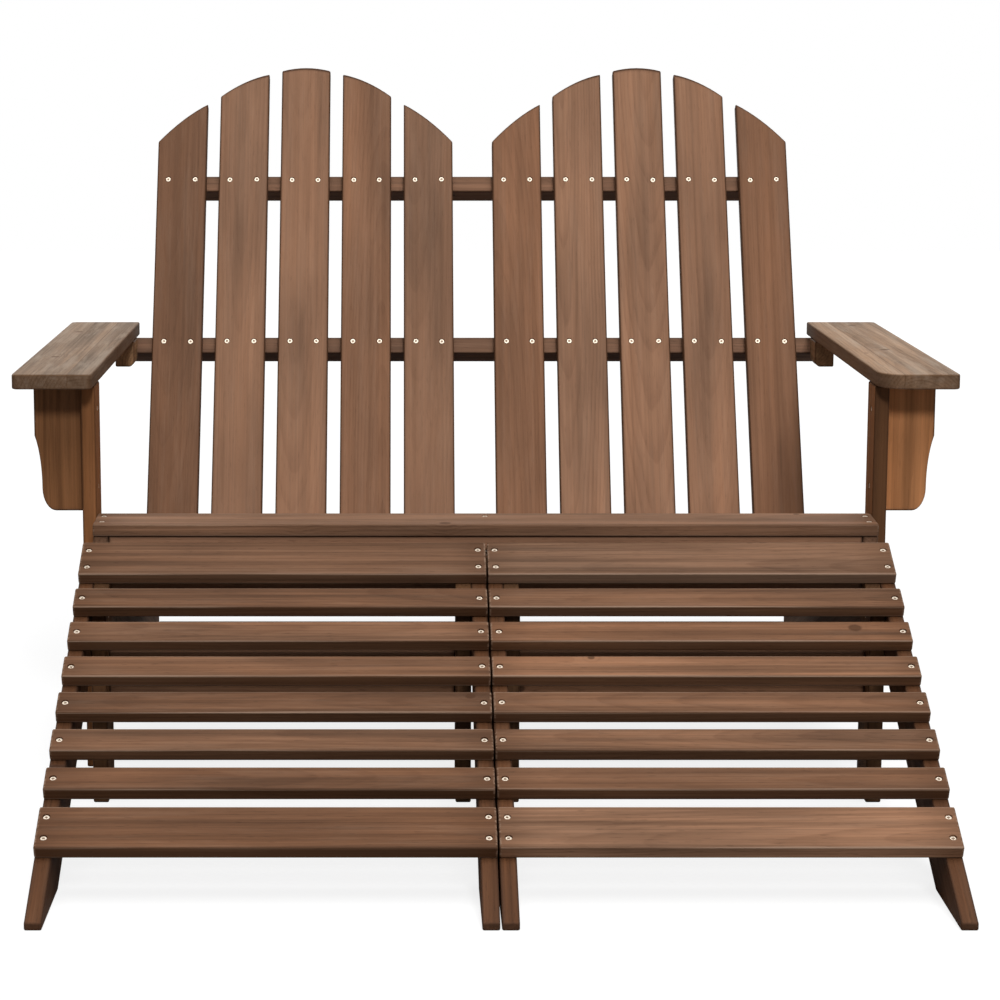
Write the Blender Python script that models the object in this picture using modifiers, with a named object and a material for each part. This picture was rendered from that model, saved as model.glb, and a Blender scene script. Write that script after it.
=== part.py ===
"""Adirondack loveseat with two footstools, in stained softwood boards.

Metres, +Z up. The front of the loveseat faces -Y and +X is to the right of someone looking at it.
The origin is on the floor, under the centre of the whole set.
"""
import math

import bmesh
import bpy
from mathutils import Matrix, Vector

# Shared sizes
SEAT_GAP = 0.0003             # clearance between two boards that touch
EDGE_ROUNDING = 0.002         # softened edge of every board
SLAT_THICKNESS = 0.016
WIDE_SLAT = 0.070

# Footstools
STOOL_WIDTH = 0.519
STOOL_SEAM = 0.002            # gap between the two footstools
STOOL_SLOPE = math.radians(25.0)
STOOL_TOE_HEIGHT = 0.009
STOOL_RAIL_WIDTH = 0.070
STOOL_RAIL_THICKNESS = 0.0195
STOOL_NARROW_SLAT = 0.040
STOOL_NARROW_COUNT = 6
STOOL_SLAT_GAP = 0.030
STOOL_FIRST_SLAT = 0.1045     # from the toe, along the rail's upper edge, to the lowest slat
STOOL_LEG_FRONT = 0.516       # from the toe, along the floor
STOOL_LEG_DEPTH = 0.074
STOOL_LEG_THICKNESS = 0.0195
STOOL_STRETCHER_TOP = 0.190
STOOL_STRETCHER_HEIGHT = 0.068
STOOL_STRETCHER_THICKNESS = 0.018
STOOL_DOCKING_GAP = 0.003     # between the footstools and the seat

# Seat and its carriers
SEAT_FRONT_HEIGHT = 0.3385    # upper front edge of the first slat
SEAT_FRONT_TILT = math.radians(2.5)
SEAT_SLAT_GAP = 0.012
SEAT_BACK_CLEARANCE = 0.005   # between the last slat and the back
SEAT_SLOPED_SLATS = 5
SEAT_NARROWER_THAN_STOOLS = 0.023
SLAT_NOSE = 0.004             # the first slat stands this far in front of the stringers
STRINGER_WIDTH = 0.140
STRINGER_THICKNESS = 0.020
STRINGER_HEEL = 0.1633        # length that stands flat on the floor
STRINGER_PAST_ARM = 0.032     # rear end of the stringers, behind the arms
APRON_HEIGHT = 0.090
APRON_THICKNESS = 0.016
REAR_STRETCHER_HEIGHT = 0.052
REAR_STRETCHER_THICKNESS = 0.018
REAR_STRETCHER_FLOOR_GAP = 0.008
REAR_STRETCHER_INSET = 0.009
CENTRE_STRINGER_WIDTH = 0.070

# Front legs, brackets and arms
LEG_FROM_SEAT_FRONT = 0.060
LEG_DEPTH = 0.056
LEG_THICKNESS = 0.019
ARM_TOP_HEIGHT = 0.531
ARM_THICKNESS = 0.0195
ARM_WIDTH = 0.1035
ARM_LENGTH = 0.673
ARM_FRONT_OVERHANG = 0.040
ARM_PAST_LEG = 0.0847         # outer edge of the arm, from the leg's outer face
ARM_ROUND_CORNER = 0.042      # inner front corner of the right arm
ARM_SQUARE_CORNER = 0.008     # inner front corner of the left arm, hardly rounded
ARM_OUTER_CORNER = 0.009
ARM_REAR_CORNER = 0.006
BRACKET_THICKNESS = 0.018
BRACKET_WIDTH = 0.0635
BRACKET_HEIGHT = 0.168
BRACKET_STRAIGHT = 0.068      # straight part under the arm
BRACKET_STEP = 0.009          # how far the curve below it draws in
BRACKET_CURVE = 0.068         # height of that curve
BRACKET_CORNER_WIDTH = 0.018
BRACKET_CORNER_HEIGHT = 0.030
CLEAT_WIDTH = 0.0285
CLEAT_HEIGHT = 0.038
CLEAT_LENGTH = 0.050
CLEAT_CHAMFER = 0.006

# Back
BACK_RECLINE = math.radians(28.7)
ARM_PAST_BACK = 0.034         # rear end of the arms, behind the rear faces of the back slats
BACK_ARM_CLEARANCE = 0.0235   # between the outer back slats and the arms
BACK_SLAT_GAP = 0.0195
BACK_CENTRE_GAP = 0.061
BACK_SLATS_PER_GROUP = 5
BACK_SLAT_TOP = 0.449         # along the back, above the arm's underside
BACK_SLAT_BELOW_SEAT = 0.042  # along the back, below the line of the seat
ARCH_RISE = 0.128
ARCH_EXPONENT = 1.75
ARCH_STEPS = 8
SLAT_END_BULGE = 0.0055       # how far the rounded end of each back slat rises above its chord
CROSSBAR_HEIGHT = 0.026
CROSSBAR_DEPTH = 0.035
UPPER_CROSSBAR_ABOVE_LOWER = 0.2693
UPPER_CROSSBAR_INSET = 0.020
LOWER_CROSSBAR_UNDER_ARM = 0.034
FOOT_RAIL_ABOVE_SLAT_ENDS = 0.008

ARC_STEPS = 8

# Colours as (red, green, blue, roughness)
STAINED_WOOD = (0.260, 0.140, 0.085, 0.55)
WEATHERED_WOOD = (0.340, 0.250, 0.180, 0.65)
RAIL_WOOD = (0.190, 0.090, 0.045, 0.60)
LEG_WOOD = (0.200, 0.090, 0.040, 0.60)

# Places worked out from the sizes above
DOWN_THE_BACK = math.tan(BACK_RECLINE)
STOOL_TOP_ALONG = (STOOL_FIRST_SLAT + WIDE_SLAT + WIDE_SLAT
                   + STOOL_NARROW_COUNT * STOOL_NARROW_SLAT
                   + (STOOL_NARROW_COUNT + 1) * STOOL_SLAT_GAP)
STOOL_DEPTH = STOOL_TOP_ALONG * math.cos(STOOL_SLOPE) - SEAT_GAP * math.sin(STOOL_SLOPE)
STOOL_REAR = STOOL_DEPTH - SLAT_THICKNESS * math.sin(STOOL_SLOPE)
ARM_REAR_FROM_SEAT_FRONT = LEG_FROM_SEAT_FRONT - ARM_FRONT_OVERHANG + ARM_LENGTH
BACK_PLANE_FROM_SEAT_FRONT = ARM_REAR_FROM_SEAT_FRONT - ARM_PAST_BACK
STRINGER_LENGTH = ARM_REAR_FROM_SEAT_FRONT + STRINGER_PAST_ARM - SLAT_NOSE
SEAT_DEPTH_TO_BACK_TOP = BACK_PLANE_FROM_SEAT_FRONT + BACK_SLAT_TOP * math.sin(BACK_RECLINE)
TOTAL_DEPTH = STOOL_DEPTH + STOOL_DOCKING_GAP + SEAT_DEPTH_TO_BACK_TOP
TOE_Y = -TOTAL_DEPTH / 2
SEAT_FRONT_Y = TOE_Y + STOOL_DEPTH + STOOL_DOCKING_GAP
SEAT_SLAT_LENGTH = 2 * STOOL_WIDTH + STOOL_SEAM - SEAT_NARROWER_THAN_STOOLS
STRINGER_OUTSIDE = SEAT_SLAT_LENGTH / 2
STRINGER_INSIDE = STRINGER_OUTSIDE - STRINGER_THICKNESS
LEG_INSIDE = STRINGER_OUTSIDE + SEAT_GAP
LEG_OUTSIDE = LEG_INSIDE + LEG_THICKNESS
LEG_FRONT_Y = SEAT_FRONT_Y + LEG_FROM_SEAT_FRONT
ARM_OUTSIDE = LEG_OUTSIDE + ARM_PAST_LEG
ARM_INSIDE = ARM_OUTSIDE - ARM_WIDTH
ARM_FRONT_Y = LEG_FRONT_Y - ARM_FRONT_OVERHANG
ARM_UNDERSIDE = ARM_TOP_HEIGHT - ARM_THICKNESS
BACK_Y = SEAT_FRONT_Y + BACK_PLANE_FROM_SEAT_FRONT
BACK_Z = ARM_UNDERSIDE - SEAT_GAP
STRINGER_FRONT_Y = SEAT_FRONT_Y + SLAT_NOSE
STRINGER_REAR_Y = STRINGER_FRONT_Y + STRINGER_LENGTH
BEND_ALONG = WIDE_SLAT + SEAT_SLAT_GAP / 2
BEND_UNDER = SLAT_THICKNESS + SEAT_GAP
BEND_Y = SEAT_FRONT_Y + BEND_ALONG * math.cos(SEAT_FRONT_TILT) + BEND_UNDER * math.sin(SEAT_FRONT_TILT)
BEND_Z = SEAT_FRONT_HEIGHT + BEND_ALONG * math.sin(SEAT_FRONT_TILT) - BEND_UNDER * math.cos(SEAT_FRONT_TILT)
BEND_TO_HEEL = STRINGER_REAR_Y - STRINGER_HEEL - BEND_Y
SEAT_SLOPE = math.acos(STRINGER_WIDTH / math.hypot(BEND_TO_HEEL, BEND_Z)) - math.atan2(BEND_TO_HEEL, BEND_Z)
BACK_WIDTH = 2 * (ARM_INSIDE - BACK_ARM_CLEARANCE)
BACK_SLAT_WIDTH = ((BACK_WIDTH - BACK_CENTRE_GAP) / 2 + BACK_SLAT_GAP) / BACK_SLATS_PER_GROUP - BACK_SLAT_GAP


def clear_scene():
    """Remove every object that is already in the file."""
    for obj in list(bpy.data.objects):
        bpy.data.objects.remove(obj, do_unlink=True)


def make_collection(name):
    """Return a new collection linked to the scene."""
    collection = bpy.data.collections.new(name)
    bpy.context.scene.collection.children.link(collection)
    return collection


def make_material(name, finish):
    """Return a Principled BSDF material with a wood's colour and roughness."""
    material = bpy.data.materials.new(name)
    material.use_nodes = True
    shader = material.node_tree.nodes["Principled BSDF"]
    red, green, blue, roughness = finish
    shader.inputs["Base Color"].default_value = (red, green, blue, 1.0)
    shader.inputs["Roughness"].default_value = roughness
    shader.inputs["Metallic"].default_value = 0.0
    return material


def make_frame(name, place, turn_about_x, collection):
    """Return an empty that pieces are placed in; it is turned about the X axis."""
    frame = bpy.data.objects.new(name, None)
    frame.location = place
    frame.rotation_euler = (turn_about_x, 0, 0)
    collection.objects.link(frame)
    return frame


def add_rounding(obj, width=EDGE_ROUNDING):
    """Soften every sharp edge of a board."""
    bevel = obj.modifiers.new("rounded edges", "BEVEL")
    bevel.width = width
    bevel.segments = 2
    bevel.limit_method = "ANGLE"
    bevel.angle_limit = math.radians(30.0)


def board(name, size, centre, frame, material, collection):
    """Make a square-edged board from a cube, with soft edges, in a frame's own axes."""
    bm = bmesh.new()
    bmesh.ops.create_cube(bm, size=1.0)
    bmesh.ops.scale(bm, vec=Vector(size), verts=bm.verts)
    mesh = bpy.data.meshes.new(name)
    bm.to_mesh(mesh)
    bm.free()
    mesh.materials.append(material)
    obj = bpy.data.objects.new(name, mesh)
    obj.location = centre
    obj.parent = frame
    collection.objects.link(obj)
    add_rounding(obj)
    return obj


def shaped_board(name, outline, thickness, centre, turn, frame, material, collection):
    """Saw a board to an outline: a filled flat curve, extruded to both sides of its plane."""
    curve = bpy.data.curves.new(name, "CURVE")
    curve.dimensions = "2D"
    curve.fill_mode = "BOTH"
    curve.extrude = thickness / 2
    spline = curve.splines.new("POLY")
    spline.points.add(len(outline) - 1)
    for point, (across, up) in zip(spline.points, outline):
        point.co = (across, up, 0, 1)
    spline.use_cyclic_u = True
    curve.materials.append(material)
    obj = bpy.data.objects.new(name, curve)
    obj.location = centre
    obj.rotation_euler = turn
    obj.parent = frame
    collection.objects.link(obj)
    weld = obj.modifiers.new("closed caps", "WELD")
    weld.merge_threshold = 0.00001
    flat = obj.modifiers.new("flat faces", "DECIMATE")
    flat.decimate_type = "DISSOLVE"
    flat.angle_limit = math.radians(0.5)
    add_rounding(obj)
    return obj


# Turns that stand a flat outline up: its first axis across X or Y, its second axis up
FACING_SIDE = (math.radians(90.0), 0, math.radians(90.0))
FACING_FRONT = (math.radians(90.0), 0, 0)


def arc(centre, radius, start, end, steps=ARC_STEPS):
    """Return points along an arc; angles in degrees, radius one value or one for each axis."""
    across, up = radius if isinstance(radius, tuple) else (radius, radius)
    points = []
    for step in range(steps + 1):
        angle = math.radians(start + (end - start) * step / steps)
        points.append((centre[0] + across * math.cos(angle), centre[1] + up * math.sin(angle)))
    return points


def mirrored(outline):
    """Return an outline flipped across its second axis, still counter-clockwise."""
    return [(-across, up) for across, up in reversed(outline)]


def side_names():
    """Name the two sides with their sign along X."""
    return (("left", -1), ("right", 1))


def stringer_outline():
    """Outline of a side stringer: level under the first slat, then down to the floor at the rear."""
    under = BEND_UNDER * math.cos(SEAT_FRONT_TILT)
    front_z = SEAT_FRONT_HEIGHT - under + SLAT_NOSE * math.tan(SEAT_FRONT_TILT)
    fall = math.tan(SEAT_SLOPE)
    drop = STRINGER_WIDTH / math.cos(SEAT_SLOPE)
    return [
        (STRINGER_FRONT_Y, BEND_Z - drop + (BEND_Y - STRINGER_FRONT_Y) * fall),
        (STRINGER_REAR_Y - STRINGER_HEEL, 0),
        (STRINGER_REAR_Y, 0),
        (STRINGER_REAR_Y, BEND_Z - (STRINGER_REAR_Y - BEND_Y) * fall),
        (BEND_Y, BEND_Z),
        (STRINGER_FRONT_Y, front_z),
    ]


def build_stringers(wood, collection):
    """Make the two side stringers."""
    for side, sign in side_names():
        across = sign * (STRINGER_OUTSIDE - STRINGER_THICKNESS / 2)
        shaped_board(f"stringer_{side}", stringer_outline(), STRINGER_THICKNESS,
                     (across, 0, 0), FACING_SIDE, None, wood, collection)


def back_point(out_of_back, along_back):
    """Return (y, z) of a point given from the slats' rear plane and along the back."""
    y = BACK_Y + out_of_back * math.cos(BACK_RECLINE) + along_back * math.sin(BACK_RECLINE)
    z = BACK_Z - out_of_back * math.sin(BACK_RECLINE) + along_back * math.cos(BACK_RECLINE)
    return y, z


def build_centre_stringer(wood, collection):
    """Make the middle stringer, from the apron to the foot rail, between the two slat groups."""
    fall = math.tan(SEAT_SLOPE)
    drop = CENTRE_STRINGER_WIDTH / math.cos(SEAT_SLOPE)
    apron_rear = STRINGER_FRONT_Y + APRON_THICKNESS + SEAT_GAP
    front_z = BEND_Z - (BEND_Y - apron_rear) * math.tan(SEAT_FRONT_TILT)
    plane_y = BACK_Y - SEAT_GAP / math.cos(BACK_RECLINE)
    outline = [
        (apron_rear, BEND_Z - drop + (BEND_Y - apron_rear) * fall),
        meeting_point(BEND_Y, BEND_Z - drop, fall, plane_y),
        meeting_point(BEND_Y, BEND_Z, fall, plane_y),
        (BEND_Y, BEND_Z),
        (apron_rear, front_z),
    ]
    shaped_board("stringer_centre", outline, STRINGER_THICKNESS,
                 (0, 0, 0), FACING_SIDE, None, wood, collection)


def meeting_point(line_y, line_z, fall, plane_y):
    """Return where a line that falls to the rear meets the slats' rear plane."""
    y = (plane_y + (line_z + line_y * fall - BACK_Z) * DOWN_THE_BACK) / (1 + fall * DOWN_THE_BACK)
    return y, line_z - (y - line_y) * fall


def build_seat_ties(wood, collection):
    """Make the apron at the front ends and the stretcher at the rear ends of the stringers."""
    tie_length = 2 * (STRINGER_INSIDE - SEAT_GAP)
    front_y = STRINGER_FRONT_Y
    under = BEND_UNDER / math.cos(SEAT_FRONT_TILT)
    apron_top = SEAT_FRONT_HEIGHT + SLAT_NOSE * math.tan(SEAT_FRONT_TILT) - under
    board("front_apron", (tie_length, APRON_THICKNESS, APRON_HEIGHT),
          (0, front_y + APRON_THICKNESS / 2, apron_top - APRON_HEIGHT / 2),
          None, wood, collection)
    rear_y = STRINGER_REAR_Y - REAR_STRETCHER_INSET - REAR_STRETCHER_THICKNESS / 2
    board("rear_stretcher", (tie_length, REAR_STRETCHER_THICKNESS, REAR_STRETCHER_HEIGHT),
          (0, rear_y, REAR_STRETCHER_FLOOR_GAP + REAR_STRETCHER_HEIGHT / 2),
          None, wood, collection)


def seat_run():
    """Return the length of the stringer's slope, from its bend to the front of the back slats."""
    to_rear_plane = (BACK_Y - BEND_Y) * math.cos(BACK_RECLINE) + (BEND_Z - BACK_Z) * math.sin(BACK_RECLINE)
    to_front_plane = to_rear_plane - SLAT_THICKNESS - SEAT_GAP
    return to_front_plane / math.cos(BACK_RECLINE - SEAT_SLOPE)


def build_seat_slats(wood, collection):
    """Make the level front slat and the slats that slope down to the back."""
    front = make_frame("seat_front_frame", (0, SEAT_FRONT_Y, SEAT_FRONT_HEIGHT),
                       SEAT_FRONT_TILT, collection)
    board("seat_slat_1", (SEAT_SLAT_LENGTH, WIDE_SLAT, SLAT_THICKNESS),
          (0, WIDE_SLAT / 2, -SLAT_THICKNESS / 2), front, wood, collection)
    slope = make_frame("seat_slope_frame", (0, BEND_Y, BEND_Z), -SEAT_SLOPE, collection)
    pitch = (seat_run() - SEAT_BACK_CLEARANCE) / SEAT_SLOPED_SLATS
    size = (SEAT_SLAT_LENGTH, pitch - SEAT_SLAT_GAP, SLAT_THICKNESS)
    for index in range(SEAT_SLOPED_SLATS):
        along = SEAT_SLAT_GAP / 2 + pitch / 2 + index * pitch
        board(f"seat_slat_{index + 2}", size, (0, along, SEAT_GAP + SLAT_THICKNESS / 2),
              slope, wood, collection)


def build_front_legs(wood, collection):
    """Make the upright boards outside the stringers, from the floor to the arms."""
    height = ARM_UNDERSIDE - SEAT_GAP
    for side, sign in side_names():
        board(f"front_leg_{side}", (LEG_THICKNESS, LEG_DEPTH, height),
              (sign * (LEG_INSIDE + LEG_THICKNESS / 2), LEG_FRONT_Y + LEG_DEPTH / 2, height / 2),
              None, wood, collection)


def bracket_outline():
    """Outline of the right arm bracket, from the leg out; its upper edge is at zero height."""
    waist = BRACKET_WIDTH - BRACKET_STEP
    outline = [(0, 0), (0, -BRACKET_HEIGHT)]
    outline += arc((waist - BRACKET_CORNER_WIDTH, -BRACKET_HEIGHT + BRACKET_CORNER_HEIGHT),
                   (BRACKET_CORNER_WIDTH, BRACKET_CORNER_HEIGHT), -90, 0)
    for step in range(ARC_STEPS, -1, -1):
        share = step / ARC_STEPS
        drawn_in = BRACKET_STEP * (3 * share - 2 * share ** 1.5)
        outline.append((BRACKET_WIDTH - drawn_in, -BRACKET_STRAIGHT - BRACKET_CURVE * share))
    outline += [(BRACKET_WIDTH, 0)]
    return outline


def build_brackets(wood, collection):
    """Make the shaped boards that hold the arms out from the legs."""
    for side, sign in side_names():
        outline = bracket_outline() if sign > 0 else mirrored(bracket_outline())
        shaped_board(f"arm_bracket_{side}", outline, BRACKET_THICKNESS,
                     (sign * (LEG_OUTSIDE + SEAT_GAP), LEG_FRONT_Y + LEG_DEPTH / 2,
                      ARM_UNDERSIDE - SEAT_GAP),
                     FACING_FRONT, None, wood, collection)


def arm_outline(corner):
    """Outline of a right arm seen from above, with its inner front corner at the origin."""
    outline = arc((corner, corner), corner, 180, 270)
    outline += arc((ARM_WIDTH - ARM_OUTER_CORNER, ARM_OUTER_CORNER), ARM_OUTER_CORNER, 270, 360)
    outline += [
        (ARM_WIDTH, ARM_LENGTH - ARM_REAR_CORNER),
        (ARM_WIDTH - ARM_REAR_CORNER, ARM_LENGTH),
        (0, ARM_LENGTH),
    ]
    return outline


def build_arms(wood, collection):
    """Make the flat arm boards."""
    for side, sign in side_names():
        outline = arm_outline(ARM_ROUND_CORNER) if sign > 0 else mirrored(arm_outline(ARM_SQUARE_CORNER))
        shaped_board(f"arm_{side}", outline, ARM_THICKNESS,
                     (sign * ARM_INSIDE, ARM_FRONT_Y, ARM_TOP_HEIGHT - ARM_THICKNESS / 2),
                     (0, 0, 0), None, wood, collection)


def build_cleats(wood, collection):
    """Make the blocks under the rear of the arms; their rear ends lie against the crossbar."""
    rear_middle = -SEAT_GAP / math.cos(BACK_RECLINE) - CLEAT_HEIGHT / 2 * DOWN_THE_BACK
    for side, sign in side_names():
        name = f"arm_cleat_{side}"
        bm = bmesh.new()
        bmesh.ops.create_cube(bm, size=1.0)
        bmesh.ops.scale(bm, vec=(CLEAT_WIDTH, CLEAT_LENGTH, CLEAT_HEIGHT), verts=bm.verts)
        for vert in bm.verts:
            if vert.co.y > 0:
                vert.co.y += vert.co.z * DOWN_THE_BACK
        low_inner = [edge for edge in bm.edges
                     if all(vert.co.z < 0 and vert.co.x * sign < 0 for vert in edge.verts)]
        bmesh.ops.bevel(bm, geom=low_inner, offset=CLEAT_CHAMFER, segments=1, affect="EDGES")
        mesh = bpy.data.meshes.new(name)
        bm.to_mesh(mesh)
        bm.free()
        mesh.materials.append(wood)
        cleat = bpy.data.objects.new(name, mesh)
        cleat.location = (sign * (ARM_INSIDE - SEAT_GAP + CLEAT_WIDTH / 2),
                          BACK_Y + rear_middle - CLEAT_LENGTH / 2,
                          BACK_Z - CLEAT_HEIGHT / 2)
        collection.objects.link(cleat)
        add_rounding(cleat)


def back_slat_centres():
    """Return the places of the back slats across the back, from left to right."""
    pitch = BACK_SLAT_WIDTH + BACK_SLAT_GAP
    group_centre = BACK_CENTRE_GAP / 2 + BACK_SLAT_WIDTH / 2 + (BACK_SLATS_PER_GROUP - 1) * pitch / 2
    places = []
    for sign in (-1, 1):
        for index in range(BACK_SLATS_PER_GROUP):
            offset = (index - (BACK_SLATS_PER_GROUP - 1) / 2) * pitch
            places.append((sign * group_centre + offset, offset))
    return places


def arch_drop(offset):
    """Return how far the arch lies below its crown at a distance from its centre line."""
    pitch = BACK_SLAT_WIDTH + BACK_SLAT_GAP
    half_width = (BACK_SLATS_PER_GROUP - 1) * pitch / 2 + BACK_SLAT_WIDTH / 2
    return ARCH_RISE * (abs(offset) / half_width) ** ARCH_EXPONENT


def back_slat_foot():
    """Return the height of the back slats' lower ends, along the back from the arms' underside."""
    seat_y, seat_z = meeting_point(BEND_Y, BEND_Z, math.tan(SEAT_SLOPE), BACK_Y)
    return (seat_z - BACK_Z) / math.cos(BACK_RECLINE) - BACK_SLAT_BELOW_SEAT


def back_slat_outline(offset):
    """Outline of a back slat: a square foot, and a rounded top between two points of its group's arch."""
    half = BACK_SLAT_WIDTH / 2
    outline = [(-half, back_slat_foot()), (half, back_slat_foot())]
    right = BACK_SLAT_TOP - arch_drop(offset + half)
    left = BACK_SLAT_TOP - arch_drop(offset - half)
    for step in range(ARCH_STEPS + 1):
        share = step / ARCH_STEPS
        bulge = SLAT_END_BULGE * (1 - (2 * share - 1) ** 2)
        outline.append((half - BACK_SLAT_WIDTH * share, right + (left - right) * share + bulge))
    return outline


def build_back(slat_wood, bar_wood, collection):
    """Make the back slats with the crossbars and the foot rail behind them."""
    frame = make_frame("back_frame", (0, BACK_Y, BACK_Z), -BACK_RECLINE, collection)
    slat_middle = -SEAT_GAP - SLAT_THICKNESS / 2
    for number, (across, offset) in enumerate(back_slat_centres(), start=1):
        shaped_board(f"back_slat_{number:02d}", back_slat_outline(offset), SLAT_THICKNESS,
                     (across, slat_middle, 0), FACING_FRONT, frame, slat_wood, collection)
    bar_middle = CROSSBAR_DEPTH / 2
    lower_length = 2 * (ARM_INSIDE + LOWER_CROSSBAR_UNDER_ARM)
    board("crossbar_lower", (lower_length, CROSSBAR_DEPTH, CROSSBAR_HEIGHT),
          (0, bar_middle, -CROSSBAR_HEIGHT / 2), frame, bar_wood, collection)
    outer_slat = back_slat_centres()[-1][0] + BACK_SLAT_WIDTH / 2
    board("crossbar_upper",
          (2 * (outer_slat - UPPER_CROSSBAR_INSET), CROSSBAR_DEPTH, CROSSBAR_HEIGHT),
          (0, bar_middle, UPPER_CROSSBAR_ABOVE_LOWER - CROSSBAR_HEIGHT / 2),
          frame, bar_wood, collection)
    foot_rail_up = back_slat_foot() + FOOT_RAIL_ABOVE_SLAT_ENDS + CROSSBAR_HEIGHT / 2
    board("back_foot_rail",
          (2 * (STRINGER_INSIDE - SEAT_GAP), CROSSBAR_DEPTH, CROSSBAR_HEIGHT),
          (0, bar_middle, foot_rail_up), frame, bar_wood, collection)


def stool_rail_outline():
    """Outline of a footstool rail: a blunt toe, a flat on the floor, a slope and an upright end."""
    rise = math.tan(STOOL_SLOPE)
    drop = STOOL_RAIL_WIDTH / math.cos(STOOL_SLOPE)
    rear = STOOL_REAR
    return [
        (0, 0),
        ((drop - STOOL_TOE_HEIGHT) / rise, 0),
        (rear, STOOL_TOE_HEIGHT + rear * rise - drop),
        (rear, STOOL_TOE_HEIGHT + rear * rise),
        (0, STOOL_TOE_HEIGHT),
    ]


def stool_leg_outline():
    """Outline of a footstool leg: its upper end follows the slope of the rails."""
    rise = math.tan(STOOL_SLOPE)
    rear = STOOL_LEG_FRONT + STOOL_LEG_DEPTH
    return [
        (STOOL_LEG_FRONT, 0),
        (rear, 0),
        (rear, STOOL_TOE_HEIGHT + rear * rise),
        (STOOL_LEG_FRONT, STOOL_TOE_HEIGHT + STOOL_LEG_FRONT * rise),
    ]


def stool_slat_places():
    """Return (distance up the slope to the slat's middle, slat width), from the top slat down."""
    widths = [WIDE_SLAT] + [STOOL_NARROW_SLAT] * STOOL_NARROW_COUNT + [WIDE_SLAT]
    upper_edge = STOOL_TOP_ALONG
    places = []
    for width in widths:
        places.append((upper_edge - width / 2, width))
        upper_edge -= width + STOOL_SLAT_GAP
    return places


def build_stool(side, sign, slat_wood, rail_wood, collection):
    """Make one footstool: rails, rear legs, stretcher and slats."""
    name = f"stool_{side}"
    centre = sign * (STOOL_SEAM + STOOL_WIDTH) / 2
    frame = make_frame(f"{name}_frame", (centre, TOE_Y, 0), 0, collection)
    rail_across = (STOOL_WIDTH - STOOL_RAIL_THICKNESS) / 2
    leg_across = STOOL_WIDTH / 2 - STOOL_RAIL_THICKNESS - SEAT_GAP - STOOL_LEG_THICKNESS / 2
    for place, direction in (("outer", sign), ("inner", -sign)):
        shaped_board(f"{name}_rail_{place}", stool_rail_outline(), STOOL_RAIL_THICKNESS,
                     (direction * rail_across, 0, 0), FACING_SIDE, frame, rail_wood, collection)
        shaped_board(f"{name}_leg_{place}", stool_leg_outline(), STOOL_LEG_THICKNESS,
                     (direction * leg_across, 0, 0), FACING_SIDE, frame, rail_wood, collection)
    stretcher_length = 2 * (leg_across - STOOL_LEG_THICKNESS / 2 - SEAT_GAP)
    board(f"{name}_stretcher",
          (stretcher_length, STOOL_STRETCHER_THICKNESS, STOOL_STRETCHER_HEIGHT),
          (0, STOOL_LEG_FRONT + STOOL_LEG_DEPTH / 2, STOOL_STRETCHER_TOP - STOOL_STRETCHER_HEIGHT / 2),
          frame, rail_wood, collection)
    slope = make_frame(f"{name}_slope_frame", (centre, TOE_Y, STOOL_TOE_HEIGHT),
                       STOOL_SLOPE, collection)
    for number, (along, width) in enumerate(stool_slat_places(), start=1):
        board(f"{name}_slat_{number}", (STOOL_WIDTH, width, SLAT_THICKNESS),
              (0, along, SEAT_GAP + SLAT_THICKNESS / 2), slope, slat_wood, collection)


def main():
    """Build the loveseat and its two footstools."""
    clear_scene()
    collection = make_collection("adirondack_loveseat")
    slat_wood = make_material("stained_slats", STAINED_WOOD)
    arm_wood = make_material("weathered_arms", WEATHERED_WOOD)
    rail_wood = make_material("stained_rails", RAIL_WOOD)
    leg_wood = make_material("stained_legs", LEG_WOOD)
    build_stringers(rail_wood, collection)
    build_centre_stringer(rail_wood, collection)
    build_seat_ties(rail_wood, collection)
    build_seat_slats(slat_wood, collection)
    build_front_legs(leg_wood, collection)
    build_brackets(leg_wood, collection)
    build_arms(arm_wood, collection)
    build_cleats(leg_wood, collection)
    build_back(slat_wood, rail_wood, collection)
    for side, sign in side_names():
        build_stool(side, sign, slat_wood, rail_wood, collection)


main()
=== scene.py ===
import logging
import math
import random
from contextlib import contextmanager
from dataclasses import dataclass, field
from enum import Enum
from functools import reduce
from typing import Iterable, Iterator, Optional, Sequence, Union

import bmesh
import bpy
from mathutils import Matrix, Vector


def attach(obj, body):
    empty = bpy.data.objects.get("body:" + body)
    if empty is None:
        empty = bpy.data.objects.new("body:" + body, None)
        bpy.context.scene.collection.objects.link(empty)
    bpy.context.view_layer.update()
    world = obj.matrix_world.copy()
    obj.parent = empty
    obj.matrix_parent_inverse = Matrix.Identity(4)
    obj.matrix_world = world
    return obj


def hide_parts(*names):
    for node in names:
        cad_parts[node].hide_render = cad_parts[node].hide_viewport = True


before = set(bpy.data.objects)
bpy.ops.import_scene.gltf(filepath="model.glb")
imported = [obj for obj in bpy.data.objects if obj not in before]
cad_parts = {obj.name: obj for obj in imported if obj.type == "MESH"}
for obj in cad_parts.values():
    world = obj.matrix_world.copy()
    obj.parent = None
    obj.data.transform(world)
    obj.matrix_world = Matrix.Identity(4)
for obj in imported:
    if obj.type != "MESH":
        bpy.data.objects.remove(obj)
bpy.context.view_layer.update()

log = logging.getLogger("garden_seat")

Triple = tuple[float, float, float]
Colour = Triple
Place = Triple
Span = tuple[float, float]
Numbers = tuple[float, ...]
Object = bpy.types.Object
Mesh = bpy.types.Mesh
Material = bpy.types.Material
Socket = bpy.types.NodeSocket
Value = Union[float, Socket]
Feeds = dict[Union[int, str], object]

MILLIMETRE = 0.001
X_AXIS = Vector((1.0, 0.0, 0.0))
Y_AXIS = Vector((0.0, 1.0, 0.0))
Z_AXIS = Vector((0.0, 0.0, 1.0))


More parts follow.
